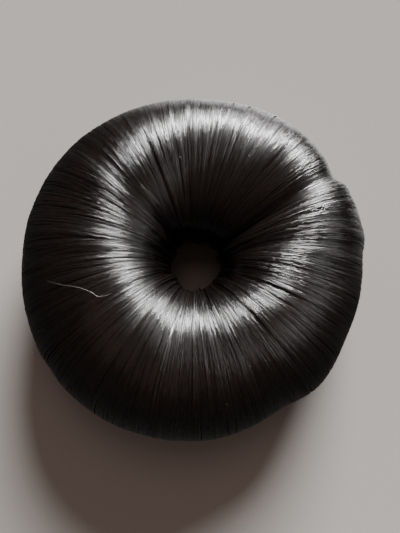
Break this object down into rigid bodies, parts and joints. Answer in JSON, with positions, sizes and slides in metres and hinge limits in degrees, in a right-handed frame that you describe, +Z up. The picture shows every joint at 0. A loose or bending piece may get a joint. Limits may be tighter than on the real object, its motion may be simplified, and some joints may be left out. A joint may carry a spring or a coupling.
{
  "type": "hair bun donut",
  "caption": "Fat soft ring wound all over with straight glossy black hair, with a small open centre hole that a ponytail is drawn through to make a bun.",
  "frame": {"origin": "middle of the ring's outline, on the flat underside", "axes": "+Z up through the hole, +X to the right and +Y to the far side as pictured"},
  "size_m": [0.095, 0.096, 0.0378],
  "materials": {
    "hair": "glossy straight black hair"
  },
  "bodies": {
    "root": {"hair_ring": "hair"}
  },
  "joints": []
}
